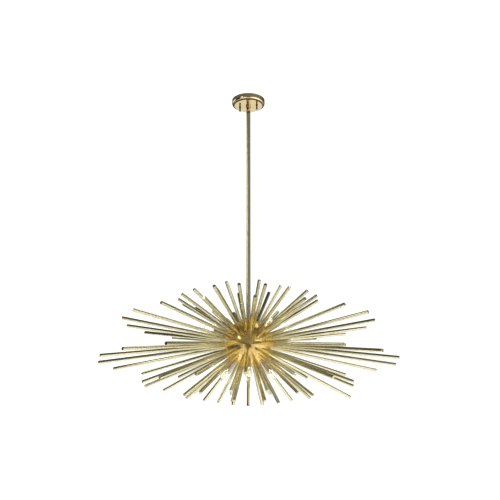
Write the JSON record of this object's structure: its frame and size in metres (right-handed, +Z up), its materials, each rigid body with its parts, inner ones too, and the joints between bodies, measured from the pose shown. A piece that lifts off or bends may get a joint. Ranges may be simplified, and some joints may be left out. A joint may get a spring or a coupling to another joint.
{
  "type": "starburst chandelier",
  "caption": "Starburst pendant: straight brass rods and small clear lamps radiate from a hub ball on one stem under a round canopy with a hang-straight swivel.",
  "frame": {"origin": "centre of the crossbar's upper face, which lies on the ceiling", "axes": "+Z up towards the ceiling, +X along the crossbar and its slots, -Y out of the front"},
  "size_m": [1.1068, 1.0946, 1.2173],
  "materials": {
    "zinc_steel": "bright zinc plate",
    "green_screw": "green dyed zinc plate",
    "canopy_brass": "pale polished brass",
    "dark_brass": "aged brass",
    "stem_brass": "olive brass, satin polish",
    "rod_brass": "champagne brass, polished",
    "plated_hub": "warm brass plate",
    "cup_brass": "aged brass",
    "ceramic": "white glazed ceramic",
    "lamp_base_metal": "bright metal",
    "lamp_wire": "nickel and tungsten wire on a glass foot",
    "bulb_glass": "clear glass"
  },
  "bodies": {
    "ceiling": {"mounting_bar": "zinc_steel", "ground_screw": "green_screw", "canopy_studs": "zinc_steel", "stud_nuts": "zinc_steel", "canopy": "canopy_brass", "ceiling_pipe": "zinc_steel", "ceiling_pipe_nut": "zinc_steel", "swivel_bush": "zinc_steel", "swivel_collar": "stem_brass"},
    "swivel": {"swivel_fork": "stem_brass", "swivel_pin": "zinc_steel"},
    "pendant": {"swivel_tongue": "stem_brass", "stem": "stem_brass", "stem_bush": "zinc_steel", "hub_pipe": "zinc_steel", "hub_top_nut": "zinc_steel", "hub_bottom_nut": "zinc_steel", "hub_upper_shell": "plated_hub", "hub_lower_shell": "plated_hub", "bottom_rod": "rod_brass", "rods_high": "rod_brass", "rods_upper": "rod_brass", "rods_shoulder": "rod_brass", "rods_waist": "rod_brass", "rods_skirt": "rod_brass", "rods_lower": "rod_brass", "rods_low": "rod_brass", "lamp_pipes": "zinc_steel", "lamp_holders": "ceramic", "lamp_bases": "lamp_base_metal", "lamp_filaments": "lamp_wire", "upper_socket_cups": "cup_brass", "lower_socket_cups": "cup_brass", "upper_bulbs": "bulb_glass", "lower_bulbs": "bulb_glass"},
    "left_knob": {"canopy_knob_left": "dark_brass"},
    "right_knob": {"canopy_knob_right": "dark_brass"}
  },
  "joints": [
    {"name": "swivel_turn", "type": "hinge", "parent": "ceiling", "child": "swivel", "pos_m": [0, 0, -0.03], "axis": [0, 0, 1], "range_deg": [-170, 170]},
    {"name": "swivel_tilt", "type": "hinge", "parent": "swivel", "child": "pendant", "pos_m": [0, 0, -0.0422], "axis": [1, 0, 0], "range_deg": [-20, 20]},
    {"name": "left_knob_turn", "type": "hinge", "parent": "ceiling", "child": "left_knob", "pos_m": [-0.035, 0, -0.03], "axis": [0, 0, 1], "continuous": true},
    {"name": "right_knob_turn", "type": "hinge", "parent": "ceiling", "child": "right_knob", "pos_m": [0.035, 0, -0.03], "axis": [0, 0, 1], "continuous": true}
  ]
}
